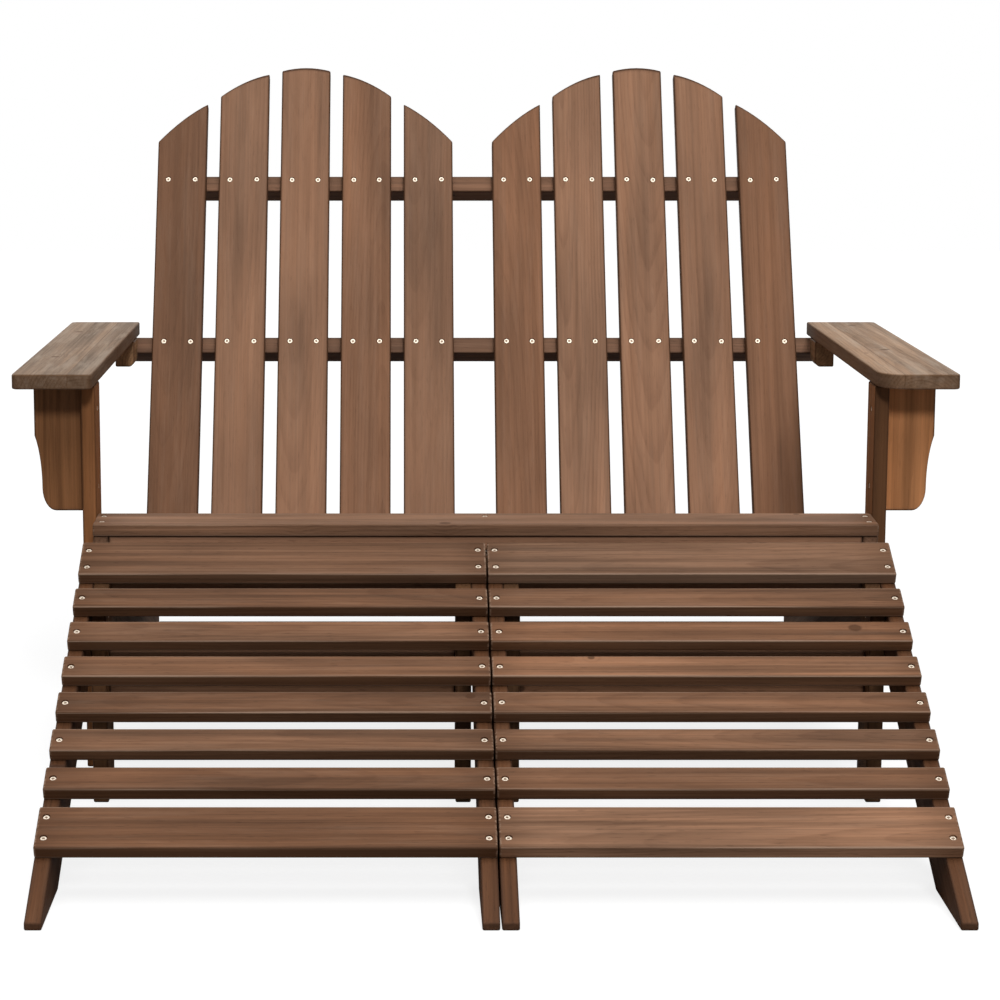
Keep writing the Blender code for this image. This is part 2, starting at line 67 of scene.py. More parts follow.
class Slot(Enum):
    """Material slots of the record."""

    SLATS = "stained_slats"
    ARMS = "weathered_arms"
    RAILS = "stained_rails"
    LEGS = "stained_legs"


class Body(Enum):
    """Bodies of the frame that pieces ride on."""

    CHAIR = "chair"
    STOOL_LEFT = "footstool_left"
    STOOL_RIGHT = "footstool_right"


class Side(Enum):
    """Left and right hand as the camera sees the seat."""

    LEFT = -1
    RIGHT = 1

    @property
    def word(self) -> str:
        """The side's name as piece names spell it."""
        return self.name.lower()


class Wiring:
    """Adds nodes to one tree and joins them up."""

    def __init__(self, tree: bpy.types.NodeTree) -> None:
        """Clears the tree and keeps it."""
        self.tree = tree
        tree.nodes.clear()

    def node(self, kind: str, feeds: Optional[Feeds] = None, **settings: object) -> bpy.types.Node:
        """Adds one node.

        Args:
            kind: the node's Blender type.
            feeds: what its inputs are joined or set to, by name or number.
            settings: properties of the node.

        Returns:
            The new node.
        """
        made = self.tree.nodes.new(kind)
        for key, value in settings.items():
            setattr(made, key, value)
        for key, value in (feeds or {}).items():
            if isinstance(value, bpy.types.NodeSocket):
                self.tree.links.new(value, made.inputs[key])
            else:
                made.inputs[key].default_value = value
        return made

    def attribute(self, name: str) -> Socket:
        """Reads one of the mesh's plain numbers."""
        return self.node("ShaderNodeAttribute", attribute_name=name).outputs["Fac"]

    def triple(self, name: str) -> Sequence[Socket]:
        """Reads one of the mesh's vectors as three numbers."""
        return self.separate(self.node("ShaderNodeAttribute", attribute_name=name).outputs["Vector"])

    def math(self, rule: str, a: Value, b: Value = 0.0, c: Value = 0.0, clamp: bool = False) -> Socket:
        """One step of arithmetic, kept between 0 and 1 where clamp says so."""
        return self.node("ShaderNodeMath", {0: a, 1: b, 2: c}, operation=rule, use_clamp=clamp).outputs[0]

    def product(self, *values: Value) -> Value:
        """Multiplies numbers, from the first to the last."""
        return reduce(lambda a, b: self.math("MULTIPLY", a, b), values)

    def combine(self, x: Value, y: Value, z: Value) -> Socket:
        """A vector out of three numbers."""
        return self.node("ShaderNodeCombineXYZ", {0: x, 1: y, 2: z}).outputs[0]

    def separate(self, vector: Socket) -> Sequence[Socket]:
        """The three numbers of a vector."""
        return self.node("ShaderNodeSeparateXYZ", {0: vector}).outputs

    def scale_colour(self, colour: Socket, by: Socket) -> Socket:
        """Multiplies a colour by a vector."""
        return self.node("ShaderNodeVectorMath", {0: colour, 1: by}, operation="MULTIPLY").outputs[0]

    def rise(self, value: Value, start: Value, end: Value, low: Value = 0.0, high: Value = 1.0) -> Socket:
        """A smooth step from low to high, between a start and an end of the value."""
        feeds = dict(enumerate((value, start, end, low, high)))
        return self.node("ShaderNodeMapRange", feeds, interpolation_type="SMOOTHSTEP").outputs[0]

    def spread(self, value: Value, low: Value, high: Value) -> Socket:
        """Maps 0 to 1 onto low to high in a straight line."""
        feeds = dict(enumerate((value, 0.0, 1.0, low, high)))
        return self.node("ShaderNodeMapRange", feeds, clamp=False).outputs[0]

    def swing(self, value: Value, depth: Value) -> Socket:
        """Maps 0 to 1 onto one less to one more the depth."""
        return self.spread(value, self.math("SUBTRACT", 1.0, depth), self.math("ADD", depth, 1.0))

    def noise(self, vector: Socket, scale: float, detail: float, roughness: float = 0.5) -> Socket:
        """Soft random shades, about 0.5 on average, with finer layers as detail and roughness say."""
        feeds = {"Vector": vector, "Scale": scale, "Detail": detail, "Roughness": roughness}
        return self.node("ShaderNodeTexNoise", feeds).outputs[0]

    def blend(self, share: Value, a: object, b: object) -> Socket:
        """Mixes two colours, of which the second one shows as far as the share says."""
        feeds = {0: share, 6: opaque(a), 7: opaque(b)}
        return self.node("ShaderNodeMix", feeds, data_type="RGBA", clamp_factor=True).outputs[2]

    def show(self, shader: Socket, output: str = "ShaderNodeOutputMaterial") -> None:
        """Joins the last shader to the tree's output node."""
        self.node(output, {"Surface": shader})


def opaque(colour: object) -> object:
    """Gives a plain colour full alpha and lets a socket through."""
    return (*colour, 1.0) if isinstance(colour, tuple) else colour


def add_object(name: str, data: bpy.types.ID) -> Object:
    """Makes an object and links it to the scene.

    Args:
        name: its name.
        data: its mesh, lamp or camera.

    Returns:
        The object.
    """
    made = bpy.data.objects.new(name, data)
    bpy.context.scene.collection.objects.link(made)
    return made


class Noise(Enum):
    """Noises drawn out along the grain.

    The numbers are the changes per metre along and across the grain, the finer layers, and how strong these are.
    """

    STREAK = (1.3, 75.0, 4.0, 0.60)
    SILK = (2.4, 330.0, 2.0, 0.60)
    FIBRE = (22.0, 850.0, 2.0, 0.55)
    BLOTCH = (3.6, 16.0, 3.0, 0.55)
    DRIFT = (2.1, 30.0, 2.0, 0.5)
    FLECK = (55.0, 520.0, 1.0, 0.5)
    SWAY = (1.6, 5.0, 1.0, 0.4)
    RIPPLE = (7.0, 26.0, 2.0, 0.5)
    WEAR = (6.0, 70.0, 4.0, 0.7)


@dataclass(frozen=True)
class WoodFinish:
    """Stained softwood: rings round a pith, streaks, fibres, knots, edges and end grain."""

    slot: Slot
    early_wood: Colour
    late_wood: Colour
    thick_stain: Colour
    worn_wood: Colour
    ring_width: float = 4.2 * MILLIMETRE
    ring_depth: float = 0.36
    end_ring_depth: float = 1.8
    sway: float = 14.0 * MILLIMETRE
    ripple: float = 2.2 * MILLIMETRE
    lean: float = 0.045
    streak_depth: float = 0.55
    silk_depth: float = 0.42
    fibre_depth: float = 0.10
    blotch_depth: float = 0.50
    fleck_depth: float = 0.22
    drift_heat: float = 0.9
    heat_tint: float = 0.07
    wear: float = 0.0
    knot_share: float = 0.62
    knots_per_metre: float = 7.5
    knot_radii: Span = (2.5 * MILLIMETRE, 7.0 * MILLIMETRE)
    knot_push: float = 7.0 * MILLIMETRE
    knot_depth: float = 0.75
    edge_reach: float = 6.0 * MILLIMETRE
    edge_depth: float = 0.22
    arris_reach: float = 3.2 * MILLIMETRE
    arris_depth: float = 0.60
    tip_reach: float = 0.055
    end_depth: float = 0.55
    side_depth: float = 0.0
    glue_depth: float = 0.5
    specular: float = 0.10
    roughness: float = 0.55
    roughness_swing: float = 0.12
    end_roughness: float = 0.25
    relief: float = 0.30
    relief_height: float = 0.6 * MILLIMETRE
    glued: bool = False

    def make(self) -> Material:
        """Builds the node material.

        Returns:
            The material.
        """
        material = bpy.data.materials.new(self.slot.value + "_finish")
        material.use_nodes = True
        WoodWiring(material.node_tree, self).paint()
        return material


class WoodWiring(Wiring):
    """The nodes of one wood finish, fed by the numbers that every board carries in its mesh."""

    NOISE_STEP = 17.0
    LEAN_STEP = 12.9
    YEAR_STEP = 31.0
    KNOT_STEPS = (7.3, 3.1)
    KNOT_STRETCH = 0.8
    KNOT_RIM = (0.75, 1.25)
    KNOT_SPREAD = 2.4
    FLECK_LIMITS = (0.60, 0.74)
    WEAR_LIMITS = (0.46, 0.70)
    RUB_LIMITS = (0.38, 0.62)
    RING_STARTS = (0.25, 0.62)
    RING_PEAK = 0.90
    RING_DROP = (0.92, 1.0)
    RING_STRENGTHS = (1.0, 0.55)
    STRIP_STEP = 2.37
    STRIP_PITH = -0.045
    STRIP_TONES = (0.95, 1.04)
    GLUE_REACH = (0.2 * MILLIMETRE, 0.9 * MILLIMETRE)
    UNEVEN = (0.2, 1.8)
    ARRIS_START = 0.2

    def __init__(self, tree: bpy.types.NodeTree, wood: WoodFinish) -> None:
        """Reads the board's numbers and lays out the noises that are used more than once.

        Args:
            tree: the material's node tree.
            wood: the finish.
        """
        super().__init__(tree)
        self.wood = wood
        self.along, self.across, self.out = self.triple("grain")
        self.pith_across, self.pith_out, self.seed = self.triple("tree")
        self.tone, self.warmth, self.knottiness = self.triple("look")
        self.streaks, self.fineness, self.ring_strength = self.triple("figure")
        self.end_face = self.attribute("end_grain")
        self.side_face = self.attribute("side_grain")
        self.glue_line = self._second_strip() if wood.glued else None
        self.streak = self.stretched(Noise.STREAK)
        self.silk = self.stretched(Noise.SILK)
        self.fibre = self.stretched(Noise.FIBRE)
        self.blotch = self.stretched(Noise.BLOTCH)
        self.fleck = self.rise(self.stretched(Noise.FLECK), *self.FLECK_LIMITS)

    def paint(self) -> None:
        """Joins the colour, the roughness and the relief to the output."""
        wood = self.wood
        knot, push, knot_reach = self._knots()
        late = self._rings(self._reach_from_pith(push), knot, knot_reach)
        rough = self.spread(
            self.streak, wood.roughness + wood.roughness_swing, wood.roughness - wood.roughness_swing)
        shader = self.node("ShaderNodeBsdfPrincipled", {
            "Base Color": self._stained(self._bare(late), knot),
            "Specular IOR Level": wood.specular,
            "Roughness": self.math("ADD", rough, self.product(self.end_face, wood.end_roughness), clamp=True),
            "Normal": self._relief(late, knot),
        })
        self.show(shader.outputs[0])

    def stretched(self, noise: Noise) -> Socket:
        """One of the noises, drawn out along the grain.

        Args:
            noise: which one.

        Returns:
            The noise's socket.
        """
        along_rate, across_rate, detail, roughness = noise.value
        far = self.product(self.seed, self.NOISE_STEP)
        place = self.combine(
            self.math("MULTIPLY_ADD", self.along, along_rate, far),
            self.math("MULTIPLY_ADD", self.across, across_rate, far),
            self.product(self.out, across_rate),
        )
        return self.noise(place, 1.0, detail, roughness)

    def _second_strip(self) -> Socket:
        """Gives a board that is glued up from two strips its second strip.

        Returns:
            The glue line's mask.
        """
        line = self.attribute("glue_line")
        second = self.math("GREATER_THAN", self.across, line)
        self.seed = self.math("MULTIPLY_ADD", second, self.STRIP_STEP, self.seed)
        self.pith_across = self.math("MULTIPLY_ADD", second, self.STRIP_PITH, self.pith_across)
        self.tone = self.product(self.tone, self.spread(second, *self.STRIP_TONES))
        gap = self.math("ABSOLUTE", self.math("SUBTRACT", self.across, line))
        return self.rise(gap, *self.GLUE_REACH, 1.0, 0.0)

    def _knots(self) -> tuple[Socket, Socket, Socket]:
        """Scattered small knots.

        Returns:
            The knot's mask, how far it pushes the rings aside, and the distance from its middle.
        """
        wood = self.wood
        step_along, step_across = self.KNOT_STEPS
        place = self.combine(
            self.math("MULTIPLY_ADD", self.along, self.KNOT_STRETCH, self.product(self.seed, step_along)),
            self.math("MULTIPLY_ADD", self.seed, step_across, self.across),
            0.0,
        )
        feeds = {"Vector": place, "Scale": wood.knots_per_metre}
        cells = self.node("ShaderNodeTexVoronoi", feeds, voronoi_dimensions="2D").outputs
        shown, size, _ = self.separate(cells["Color"])
        least = self.math("SUBTRACT", 1.0, self.product(self.knottiness, wood.knot_share))
        present = self.math("GREATER_THAN", shown, least)
        distance = self.math("DIVIDE", cells["Distance"], wood.knots_per_metre)
        ratio = self.math("DIVIDE", distance, self.spread(size, *wood.knot_radii))
        mask = self.product(self.rise(ratio, *self.KNOT_RIM, 1.0, 0.0), present)
        power = self.math("POWER", self.math("DIVIDE", ratio, self.KNOT_SPREAD), 2.0)
        falloff = self.math("POWER", 2.0, self.product(power, -1.0))
        return mask, self.product(falloff, present, wood.knot_push), distance

    def _reach_from_pith(self, push: Socket) -> Socket:
        """Distance from the wandering middle of the tree.

        Args:
            push: how far knots push the rings aside.

        Returns:
            The distance in metres.
        """
        lean = self.product(self.math("SINE", self.product(self.seed, self.LEAN_STEP)), self.wood.lean)
        aside = self.math("SUBTRACT", self.across, self.pith_across)
        below = self.math("SUBTRACT", self.out, self.math("MULTIPLY_ADD", self.along, lean, self.pith_out))
        reach = self.math("SQRT", self.math("ADD", self.math("POWER", aside, 2.0), self.math("POWER", below, 2.0)))
        for noise, width in ((Noise.SWAY, self.wood.sway), (Noise.RIPPLE, self.wood.ripple)):
            reach = self.math("ADD", reach, self.spread(self.stretched(noise), -width, width))
        return self.math("ADD", reach, push)

    def _rings(self, reach: Socket, knot: Socket, knot_reach: Socket) -> Socket:
        """Late wood lines of the year rings.

        Args:
            reach: distance from the pith.
            knot: mask of the knots.
            knot_reach: distance from a knot's middle.

        Returns:
            1 in the darkest line of a ring and 0 between the rings.
        """
        outside = self.product(reach, self.math("SUBTRACT", 1.0, knot))
        mixed = self.math("ADD", outside, self.product(knot_reach, self.KNOT_SPREAD, knot))
        count = self.math("DIVIDE", mixed, self.wood.ring_width)
        part = self.math("FRACT", count)
        year = self.math("ADD", self.math("FLOOR", count), self.product(self.seed, self.YEAR_STEP))
        chance = self.node("ShaderNodeTexWhiteNoise", {"W": year}, noise_dimensions="1D").outputs["Value"]
        swell = self.rise(part, self.spread(chance, *self.RING_STARTS), self.RING_PEAK)
        drop = self.rise(part, *self.RING_DROP, 1.0, 0.0)
        return self.product(swell, drop, self.spread(chance, *self.RING_STRENGTHS))

    def _bare(self, late: Socket) -> Socket:
        """The board's own colour, before wear and thick stain.

        Args:
            late: mask of the late wood.

        Returns:
            The colour.
        """
        wood = self.wood
        depth = self.product(late, wood.ring_depth, self.ring_strength)
        depth = self.math("MULTIPLY", depth, self.spread(self.end_face, 1.0, wood.end_ring_depth), clamp=True)
        shade = self.product(
            self.tone,
            self.swing(self.streak, self.product(self.streaks, wood.streak_depth)),
            self.swing(self.blotch, wood.blotch_depth),
            self.swing(self.silk, self.product(self.fineness, wood.silk_depth)),
            self.swing(self.fibre, self.product(self.fineness, wood.fibre_depth)),
            self.math("SUBTRACT", 1.0, self.product(self.fleck, self.fineness, wood.fleck_depth)),
        )
        colour = self.scale_colour(
            self.blend(depth, wood.early_wood, wood.late_wood), self.combine(shade, shade, shade))
        drift = self.spread(self.stretched(Noise.DRIFT), -wood.drift_heat, wood.drift_heat)
        heat = self.math("ADD", self.warmth, drift)
        red, blue = (self.math("MULTIPLY_ADD", heat, tint, 1.0) for tint in (wood.heat_tint, -wood.heat_tint))
        return self.scale_colour(colour, self.combine(red, 1.0, blue))

    def _stained(self, colour: Socket, knot: Socket) -> Socket:
        """Adds wear, knots, the thick stain at the board's limits, paler sides that are painted light, and a
        painted highlight along the arrises.

        Args:
            colour: the board's own colour.
            knot: mask of the knots.

        Returns:
            The finished colour.
        """
        wood = self.wood
        edge_stain, arris_stain, side_stain = self.triple("stain")
        rubbing, tip_shade, end_stain = self.triple("touch")
        band, arris, tip = self._edges()
        worn = self.product(self.rise(self.stretched(Noise.WEAR), *self.WEAR_LIMITS), wood.wear)
        colour = self.blend(worn, colour, wood.worn_wood)
        for factors in (
            (knot, wood.knot_depth),
            (band, wood.edge_depth, edge_stain),
            (arris, wood.arris_depth, arris_stain),
            (tip, tip_shade),
            (self.end_face, wood.end_depth, end_stain),
            (self.side_face, wood.side_depth, side_stain),
        ):
            colour = self.blend(self.product(*factors), colour, wood.thick_stain)
        # Painted light: a side stain below nothing lightens the side faces toward the pale wood colour.
        painted_light_sides = self.product(self.side_face, self.math("MULTIPLY", side_stain, -1.0, clamp=True))
        # Painted highlight: the arrises are lightened toward the pale wood colour, broken up by the silk noise, as
        # light caught on rounded edges.
        painted_highlight = self.product(arris, self.rise(self.silk, *self.RUB_LIMITS), rubbing)
        for share in (painted_light_sides, painted_highlight):
            colour = self.blend(share, colour, wood.worn_wood)
        if self.glue_line is not None:
            colour = self.blend(self.product(self.glue_line, wood.glue_depth), colour, wood.thick_stain)
        return colour

    def _edges(self) -> tuple[Socket, Socket, Socket]:
        """The band beside a board's edges, the rounded arris itself, and the last stretch to the ends.

        Returns:
            The masks of the soft band, the arris and the tips.
        """
        wood = self.wood
        half_length, half_width, half_thickness = self.triple("halves")
        low_side, high_side, bulge = self.triple("arch")
        share = self.math("MULTIPLY_ADD", self.math("DIVIDE", self.across, half_width), 0.5, 0.5)
        crown = self.product(share, self.math("SUBTRACT", 1.0, share), 4.0)
        top = self.math("MULTIPLY_ADD", crown, bulge, self.spread(share, low_side, high_side))
        to_top = self.math("SUBTRACT", top, self.along)
        to_end = self.math("MINIMUM", to_top, self.math("ADD", half_length, self.along))
        to_side = self.math("SUBTRACT", half_width, self.math("ABSOLUTE", self.across))
        to_face = self.math("SUBTRACT", half_thickness, self.math("ABSOLUTE", self.out))
        low = self.math("MINIMUM", to_end, to_side)
        high = self.math("MAXIMUM", to_end, to_side)
        second_least = self.math("MAXIMUM", low, self.math("MINIMUM", high, to_face))
        least, most = self.UNEVEN
        band, tip = (
            self.rise(distance, 0.0, self.spread(self.blotch, least * reach, most * reach), 1.0, 0.0)
            for distance, reach in ((second_least, wood.edge_reach), (to_end, wood.tip_reach))
        )
        arris = self.rise(second_least, self.ARRIS_START * wood.arris_reach, wood.arris_reach, 1.0, 0.0)
        return band, arris, tip

    def _relief(self, late: Socket, knot: Socket) -> Socket:
        """Raises rings, fibres and silk and sinks knots and flecks.

        Args:
            late: mask of the late wood.
            knot: mask of the knots.

        Returns:
            The bent normal.
        """
        height: Value = 0.0
        for part, share in ((late, 0.35), (self.fibre, 0.65), (self.silk, 0.5), (knot, -0.3), (self.fleck, -0.4)):
            height = self.math("MULTIPLY_ADD", part, share, height)
        feeds = {"Strength": self.wood.relief, "Distance": self.wood.relief_height, "Height": height}
        return self.node("ShaderNodeBump", feeds).outputs[0]


@dataclass(frozen=True)
class ScrewFinish:
    """Dulled zinc plate, with painted shade down in the cross."""

    plate: Colour = (0.80, 0.69, 0.56)
    dulled: Colour = (0.60, 0.48, 0.35)
    recess: Colour = (0.24, 0.155, 0.105)
    dulled_from: Span = (0.45, 0.75)
    dulled_share: float = 0.5
    roughness: Span = (0.40, 0.64)
    metal_share: float = 0.45
    clouds: float = 420.0
    cloud_detail: float = 3.0

    def make(self) -> Material:
        """Builds the node material.

        Returns:
            The material.
        """
        material = bpy.data.materials.new("plated_screws")
        material.use_nodes = True
        w = Wiring(material.node_tree)
        cloud = w.noise(w.node("ShaderNodeTexCoord").outputs["Object"], self.clouds, self.cloud_detail)
        plate = w.blend(w.rise(cloud, *self.dulled_from, 0.0, self.dulled_share), self.plate, self.dulled)
        shader = w.node("ShaderNodeBsdfPrincipled", {
            # Painted shade: the cross recess takes the dark colour, fully on its floor and mostly on its walls.
            "Base Color": w.blend(w.attribute("recess"), plate, self.recess),
            "Metallic": self.metal_share,
            "Roughness": w.spread(cloud, *self.roughness),
        })
        w.show(shader.outputs[0])
        return material


@dataclass(frozen=True)
class Screw:
    """One screw: the place on the wood's surface, the way its head faces and how far it is sunk."""

    place: Vector
    facing: Vector
    sink: float


@dataclass(frozen=True)
class Slope:
    """A line of boards on a slope: an origin and a turn about the X axis."""

    origin: Vector
    degrees: float

    @property
    def run(self) -> Vector:
        """The direction up the run of boards, towards the rear."""
        angle = math.radians(self.degrees)
        return Vector((0.0, math.cos(angle), math.sin(angle)))

    @property
    def normal(self) -> Vector:
        """The direction square to the run, upwards."""
        return X_AXIS.cross(self.run)

    def point(self, x: float, run: float, height: float) -> Vector:
        """The place at x sideways, a distance along the run and one off it."""
        return self.origin + Vector((x, 0.0, 0.0)) + self.run * run + self.normal * height


@dataclass(frozen=True)
class Look:
    """How one board's wood looks.

    A tone or warmth of None is drawn by chance, and a side stain below nothing paints the sides paler, a painted
    light.
    """

    tone: Optional[float] = None
    warmth: Optional[float] = None
    knottiness: float = 0.5
    streaks: float = 1.0
    fineness: float = 1.0
    # A painted highlight along the arrises, lightened toward the pale wood colour.
    rubbing: float = 0.0
    tip_shade: float = 0.0
    edge_stain: float = 1.0
    arris_stain: float = 1.0
    side_stain: float = 1.0
    end_stain: float = 1.0
    glue_line: float = 0.0


@dataclass(frozen=True)
class Board:
    """One board: the way its grain runs, the way its broad face looks, its screws and its wood."""

    node: str
    slot: Slot
    along: Vector
    face: Vector
    screws: Sequence[Screw] = ()
    look: Look = Look()
    body: Body = Body.CHAIR
    arch_bulge: float = 0.0

    @property
    def across(self) -> Vector:
        """The direction over the board's width."""
        return self.face.cross(self.along).normalized()


@contextmanager
def shaping(mesh: Mesh, start: Optional[Mesh] = None) -> Iterator[bmesh.types.BMesh]:
    """Opens a mesh for work and writes the result into it.

    Args:
        mesh: the mesh that takes the result.
        start: the mesh that the work starts from, if it is another one.

    Yields:
        The open mesh.
    """
    work = bmesh.new()
    work.from_mesh(start or mesh)
    yield work
    work.to_mesh(mesh)
    work.free()


def write_layer(mesh: Mesh, name: str, domain: str, values: Sequence[object]) -> None:
    """Gives a mesh a layer of numbers or of vectors.

    Args:
        mesh: the mesh.
        name: the layer's name.
        domain: what the values belong to.
        values: one for each corner or face corner, all of one kind.
    """
    number = isinstance(values[0], float)
    layer = mesh.attributes.new(name, "FLOAT" if number else "FLOAT_VECTOR", domain)
    for item, value in zip(layer.data, values):
        setattr(item, "value" if number else "vector", value)


def apply_modifier(piece: Object, kind: str, inputs: Optional[Feeds] = None, **settings: object) -> None:
    """Makes what a modifier shows the piece's plain mesh.

    Args:
        piece: the object.
        kind: the modifier's Blender type.
        inputs: values for a node tree, by socket identifier.
        settings: properties of the modifier.
    """
    modifier = piece.modifiers.new(kind, kind)
    for key, value in settings.items():
        setattr(modifier, key, value)
    for key, value in (inputs or {}).items():
        modifier[key] = value
    bpy.context.view_layer.update()
    graph = bpy.context.evaluated_depsgraph_get()
    shown = piece.evaluated_get(graph)
    mesh = bpy.data.meshes.new_from_object(shown, preserve_all_data_layers=True, depsgraph=graph)
    old = piece.data
    piece.modifiers.clear()
    piece.data = mesh
    mesh.name = piece.name
    bpy.data.meshes.remove(old)


@dataclass
class BoardShop:
    """Turns the frame's boards into finished ones."""

    finishes: dict[Slot, Material]
    merge_distance: float = 0.01 * MILLIMETRE
    flat_angle: float = math.radians(0.6)
    sharp_angle: float = math.radians(50.0)
    face_weight: int = 60
    cup_mouth: float = 4.5 * MILLIMETRE
    cup_floor: float = 4.1 * MILLIMETRE
    cup_below_head: float = 1.05 * MILLIMETRE
    cup_above_wood: float = 0.5 * MILLIMETRE
    cup_sides: int = 20
    edge_strip: float = 0.5 * MILLIMETRE
    seeds: float = 10.0
    pith_shift: float = 0.9
    pith_depths: Span = (0.018, 0.060)
    tones: Span = (0.90, 1.10)
    warmths: Span = (-0.8, 0.8)
    ring_strengths: Span = (0.35, 1.25)
    facing_start: float = 0.3
    facing_span: float = 0.5
    screws: dict[Body, list[Screw]] = field(default_factory=dict)

    def dress(self, board: Board) -> None:
        """Makes one finished board and lets it stand for its node.

        Args:
            board: the board.
        """
        name = board.node + "_wood"
        piece = add_object(name, bpy.data.meshes.new(name))
        with shaping(piece.data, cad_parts[board.node].data) as work:
            bmesh.ops.remove_doubles(work, verts=work.verts, dist=self.merge_distance)
            bmesh.ops.dissolve_limit(work, angle_limit=self.flat_angle, verts=work.verts, edges=work.edges)
        if board.screws:
            self._sink_cups(piece, board.screws)
            self.screws.setdefault(board.body, []).extend(board.screws)
        self._shade(piece)
        self._write_grain(piece.data, board)
        piece.data.materials.clear()
        piece.data.materials.append(self.finishes[board.slot])
        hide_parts(board.node)
        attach(piece, board.body.value)
        log.info("%s: %d faces, %d screws", piece.name, len(piece.data.polygons), len(board.screws))

    def _sink_cups(self, piece: Object, screws: Iterable[Screw]) -> None:
        """Drills the shallow cups that the screw heads sit in.

        Args:
            piece: the board.
            screws: its screws.
        """
        cutter = add_object("cups", bpy.data.meshes.new("cups"))
        with shaping(cutter.data) as work:
            for screw in screws:
                depth = self.cup_below_head + screw.sink
                slope = (self.cup_mouth - self.cup_floor) / depth
                turn = Z_AXIS.rotation_difference(screw.facing).to_matrix().to_4x4()
                middle = screw.place + screw.facing * (self.cup_above_wood - depth) / 2.0
                bmesh.ops.create_cone(
                    work, cap_ends=True, segments=self.cup_sides, radius1=self.cup_floor,
                    radius2=self.cup_mouth + slope * self.cup_above_wood, depth=depth + self.cup_above_wood,
                    matrix=Matrix.Translation(middle) @ turn,
                )
        apply_modifier(piece, "BOOLEAN", operation="DIFFERENCE", solver="EXACT", object=cutter)
        bpy.data.meshes.remove(cutter.data)

    def _shade(self, piece: Object) -> None:
        """Breaks the shading at hard edges, keeps broad faces flat and lets the roundings turn.

        Args:
            piece: the board.
        """
        with shaping(piece.data) as work:
            for edge in work.edges:
                edge.smooth = len(edge.link_faces) == 2 and edge.calc_face_angle() < self.sharp_angle
            for face in work.faces:
                face.smooth = True
        apply_modifier(piece, "WEIGHTED_NORMAL", keep_sharp=True, weight=self.face_weight)

    def _write_grain(self, mesh: Mesh, board: Board) -> None:
        """Writes the board's own coordinates and random numbers into its mesh.

        Args:
            mesh: the finished board's mesh.
            board: its description.
        """
        places = [[axis.dot(v.co) for axis in (board.along, board.across, board.face)] for v in mesh.vertices]
        spans = [(min(reach), max(reach)) for reach in zip(*places)]
        halves = [(high - low) / 2.0 for low, high in spans]
        grain = [[reach - (low + high) / 2.0 for reach, (low, high) in zip(place, spans)] for place in places]
        write_layer(mesh, "grain", "POINT", grain)
        draw = random.Random(board.node)
        seed = draw.random() * self.seeds
        pith_across = draw.uniform(-self.pith_shift, self.pith_shift) * halves[1]
        pith_out = -draw.uniform(*self.pith_depths)
        look = board.look
        tone = draw.uniform(*self.tones) if look.tone is None else look.tone
        warmth = draw.uniform(*self.warmths) if look.warmth is None else look.warmth
        for name, values in (
            ("tree", (pith_across, pith_out, seed)),
            ("look", (tone, warmth, look.knottiness)),
            ("figure", (look.streaks, look.fineness, draw.uniform(*self.ring_strengths))),
            ("stain", (look.edge_stain, look.arris_stain, look.side_stain)),
            ("touch", (look.rubbing, look.tip_shade, look.end_stain)),
            ("halves", halves),
            ("arch", self._arch(grain, halves, board.arch_bulge)),
        ):
            write_layer(mesh, name, "POINT", [values] * len(places))
        if look.glue_line:
            write_layer(mesh, "glue_line", "POINT", [look.glue_line] * len(places))
        for name, axis in (("end_grain", board.along), ("side_grain", board.across)):
            turned = [abs(normal.vector.dot(axis)) - self.facing_start for normal in mesh.corner_normals]
            write_layer(mesh, name, "CORNER", [min(max(turn / self.facing_span, 0.0), 1.0) for turn in turned])

    def _arch(self, grain: Sequence[Sequence[float]], halves: Sequence[float], bulge: float) -> Triple:
        """Finds where a rounded upper end starts and stops.

        Args:
            grain: every corner's place along, across and out.
            halves: half the board's size along each.
            bulge: how far the rounded end rises above its chord, or 0 for a square end.

        Returns:
            The end's height at either edge of the board, and the bulge.
        """
        if not bulge:
            return halves[0], halves[0], 0.0
        low, high = (
            max(along for along, across, _ in grain if side.value * across > halves[1] - self.edge_strip)
            for side in Side
        )
        return low, high, bulge


